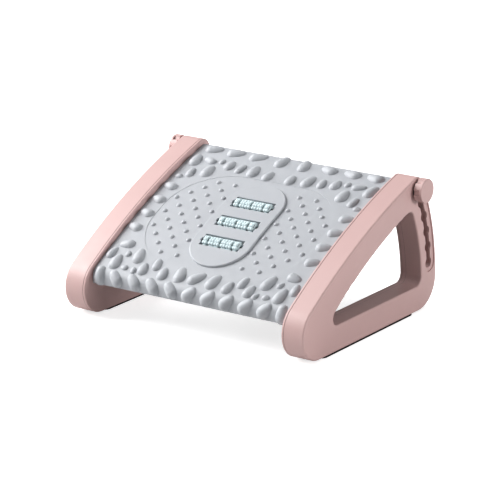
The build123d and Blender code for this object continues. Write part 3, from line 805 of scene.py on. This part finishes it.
class FOOTREST_OT_screws(bpy.types.Operator):
    """Build the cross-recessed cover and tray screws"""

    bl_idname = "footrest.screws"
    bl_label = "Screws"

    def recess(self, mesh, settings):
        """Tapered cross that goes down along X from the plane through the origin."""
        arm = settings.slot_length
        half = settings.slot_width / 2
        corner = [(half, half), (half, arm), (-half, arm)]
        plus = []
        for _ in range(4):
            plus += corner
            corner = [(-z, y) for y, z in corner]
        rim = [mesh.verts.new((0, y, z)) for y, z in plus]
        floor = [
            mesh.verts.new((-settings.slot_depth, CROSS_TAPER * y, CROSS_TAPER * z))
            for y, z in plus
        ]
        for n in range(len(plus)):
            mesh.faces.new((rim[n - 1], rim[n], floor[n], floor[n - 1]))
        mesh.faces.new(floor)

    def screw(self, corners, out, sunk, settings):
        """Mesh of one screw in the place of a CAD screw whose head faces out."""
        centre = sum(corners, Vector()) / len(corners)
        heights = [(corner - centre).dot(out) for corner in corners]
        top = centre + max(heights) * out
        length = max(heights) - min(heights)
        radius = max((corner - centre).cross(out).length for corner in corners)
        tall = settings.head_height
        shank = settings.shank_radius
        if sunk:
            head = [(0, SUNK_RIM * radius)]
        else:
            head = [(-down * tall, share * radius) for down, share in PAN_HEAD]
        outline = head + [(-tall, shank), (shank - length, shank), (-length, 0)]
        mesh = bmesh.new()
        tube(mesh, outline, Vector(), SCREW_STEPS, closed=False)
        bmesh.ops.remove_doubles(mesh, verts=mesh.verts, dist=MERGE)
        self.recess(mesh, settings)
        open_edges = [edge for edge in mesh.edges if edge.is_boundary]
        bmesh.ops.triangle_fill(mesh, use_beauty=True, edges=open_edges)
        place = Matrix.Translation(top) @ out.to_track_quat("X", "Z").to_matrix().to_4x4()
        bmesh.ops.transform(mesh, matrix=place, verts=mesh.verts)
        data = bpy.data.meshes.new("screw")
        mesh.to_mesh(data)
        mesh.free()
        return data

    def screws(self, name, out, sunk, body, settings, material):
        """All the screws of a CAD node."""
        mesh = bmesh.new()
        for corners in solids(name):
            data = self.screw(corners, out, sunk, settings)
            mesh.from_mesh(data)
            bpy.data.meshes.remove(data)
        finished_piece(name + "_cross", mesh, material, body, "steel", name)

    def execute(self, context):
        settings = context.scene.footrest_screw
        steel = drawn("Plated steel", context.scene.footrest_finish.steel_colour)
        for name, out in zip(both("cover_screws"), (X_AXIS, -X_AXIS)):
            self.screws(name, out, True, "side_frames", settings, steel)
        slope = middle("upper_axle") - middle("lower_axle")
        down = slope.cross(X_AXIS).normalized()
        self.screws("tray_screws", down, False, "platform", settings, steel)
        return {"FINISHED"}


class FOOTREST_OT_stage(bpy.types.Operator):
    """Set the floor, the light and the camera"""

    bl_idname = "footrest.stage"
    bl_label = "Stage"

    def floor(self, scene, stage):
        """Plain paper floor that looks evenly pale to the camera."""
        mesh = bmesh.new()
        bmesh.ops.create_grid(mesh, x_segments=1, y_segments=1, size=FLOOR_SIZE)
        data = bpy.data.meshes.new("floor")
        mesh.to_mesh(data)
        mesh.free()
        paper, tree, shader = bare_material("Paper floor")
        set_inputs(
            shader, Base_Color=(*stage.floor_colour, 1.0), Roughness=FLOOR_ROUGHNESS,
            Specular_IOR_Level=FLOOR_SPECULAR, Emission_Color=WHITE,
        )
        seen = node(tree, "ShaderNodeMath", operation="MULTIPLY")
        seen.inputs[1].default_value = stage.floor_glow
        wire(
            tree, camera_ray(tree), seen.inputs[0],
            seen.outputs[0], shader.inputs["Emission Strength"],
        )
        data.materials.append(paper)
        ground = bpy.data.objects.new("floor", data)
        scene.collection.objects.link(ground)

    def surroundings(self, scene, stage):
        """Even light all round, and white behind the footrest."""
        world = bpy.data.worlds.new("studio")
        scene.world = world
        world.use_nodes = True
        tree = world.node_tree
        sky = tree.nodes["Background"]
        set_inputs(sky, Color=WHITE)
        seen = node(tree, "ShaderNodeMapRange")
        set_inputs(seen, To_Min=stage.sky)
        wire(
            tree, camera_ray(tree), seen.inputs["Value"],
            seen.outputs["Result"], sky.inputs["Strength"],
        )

    def light(self, scene, name, place, size, power):
        """Round area light that faces the footrest."""
        data = bpy.data.lights.new(name, "AREA")
        data.shape = "DISK"
        data.size = size
        data.energy = power
        lamp = bpy.data.objects.new(name, data)
        turn = (LIGHT_AIM - Vector(place)).to_track_quat("-Z", "Y")
        lamp.matrix_world = Matrix.Translation(place) @ turn.to_matrix().to_4x4()
        scene.collection.objects.link(lamp)

    def camera(self, scene, stage):
        """Camera that looks down at the footrest from the front right."""
        right = Vector((cos(stage.azimuth), sin(stage.azimuth), 0.0))
        level = cos(stage.elevation)
        back = Vector((
            sin(stage.azimuth) * level, -cos(stage.azimuth) * level, sin(stage.elevation),
        ))
        up = back.cross(right)
        data = bpy.data.cameras.new("camera")
        data.sensor_width = SENSOR_WIDTH
        data.lens = stage.lens
        data.clip_end = VIEW_END
        eye = bpy.data.objects.new("camera", data)
        place = CAMERA_AIM + stage.raise_by * up + stage.distance * back
        turn = Matrix((right, up, back)).transposed().to_4x4()
        eye.matrix_world = Matrix.Translation(place) @ turn
        scene.collection.objects.link(eye)
        scene.camera = eye

    def execute(self, context):
        scene = context.scene
        stage = scene.footrest_stage
        scene.view_settings.view_transform = "Standard"
        scene.view_settings.look = "Medium High Contrast"
        self.surroundings(scene, stage)
        self.floor(scene, stage)
        self.light(scene, "key", KEY_PLACE, KEY_SIZE, stage.key_power)
        self.light(scene, "fill", FILL_PLACE, FILL_SIZE, stage.fill_power)
        self.camera(scene, stage)
        return {"FINISHED"}


class FOOTREST_PT_sidebar(bpy.types.Panel):
    """Buttons and settings of the footrest"""

    bl_idname = "FOOTREST_PT_sidebar"
    bl_label = "Massage Footrest"
    bl_space_type = "VIEW_3D"
    bl_region_type = "UI"
    bl_category = "Footrest"

    def draw(self, context):
        for operator in OPERATORS:
            self.layout.operator(operator.bl_idname)
        for name, group in SETTINGS.items():
            box = self.layout.box()
            box.label(text=group.__doc__)
            for key in group.__annotations__:
                box.prop(getattr(context.scene, name), key)


SETTINGS = {
    "footrest_finish": FootrestFinish,
    "footrest_sleeve": FootrestSleeve,
    "footrest_strip": FootrestStrip,
    "footrest_screw": FootrestScrew,
    "footrest_stage": FootrestStage,
}
OPERATORS = (
    FOOTREST_OT_frames, FOOTREST_OT_strips, FOOTREST_OT_platform, FOOTREST_OT_rollers,
    FOOTREST_OT_clamps, FOOTREST_OT_rod, FOOTREST_OT_screws, FOOTREST_OT_stage,
)


def register():
    for name, group in SETTINGS.items():
        bpy.utils.register_class(group)
        setattr(bpy.types.Scene, name, bpy.props.PointerProperty(type=group))
    for item in (*OPERATORS, FOOTREST_PT_sidebar):
        bpy.utils.register_class(item)


def unregister():
    for item in reversed((*OPERATORS, FOOTREST_PT_sidebar)):
        bpy.utils.unregister_class(item)
    for name, group in reversed(SETTINGS.items()):
        delattr(bpy.types.Scene, name)
        bpy.utils.unregister_class(group)


def main():
    register()
    for operator in OPERATORS:
        getattr(bpy.ops.footrest, operator.bl_idname.split(".")[1])()


if __name__ == "__main__":
    main()
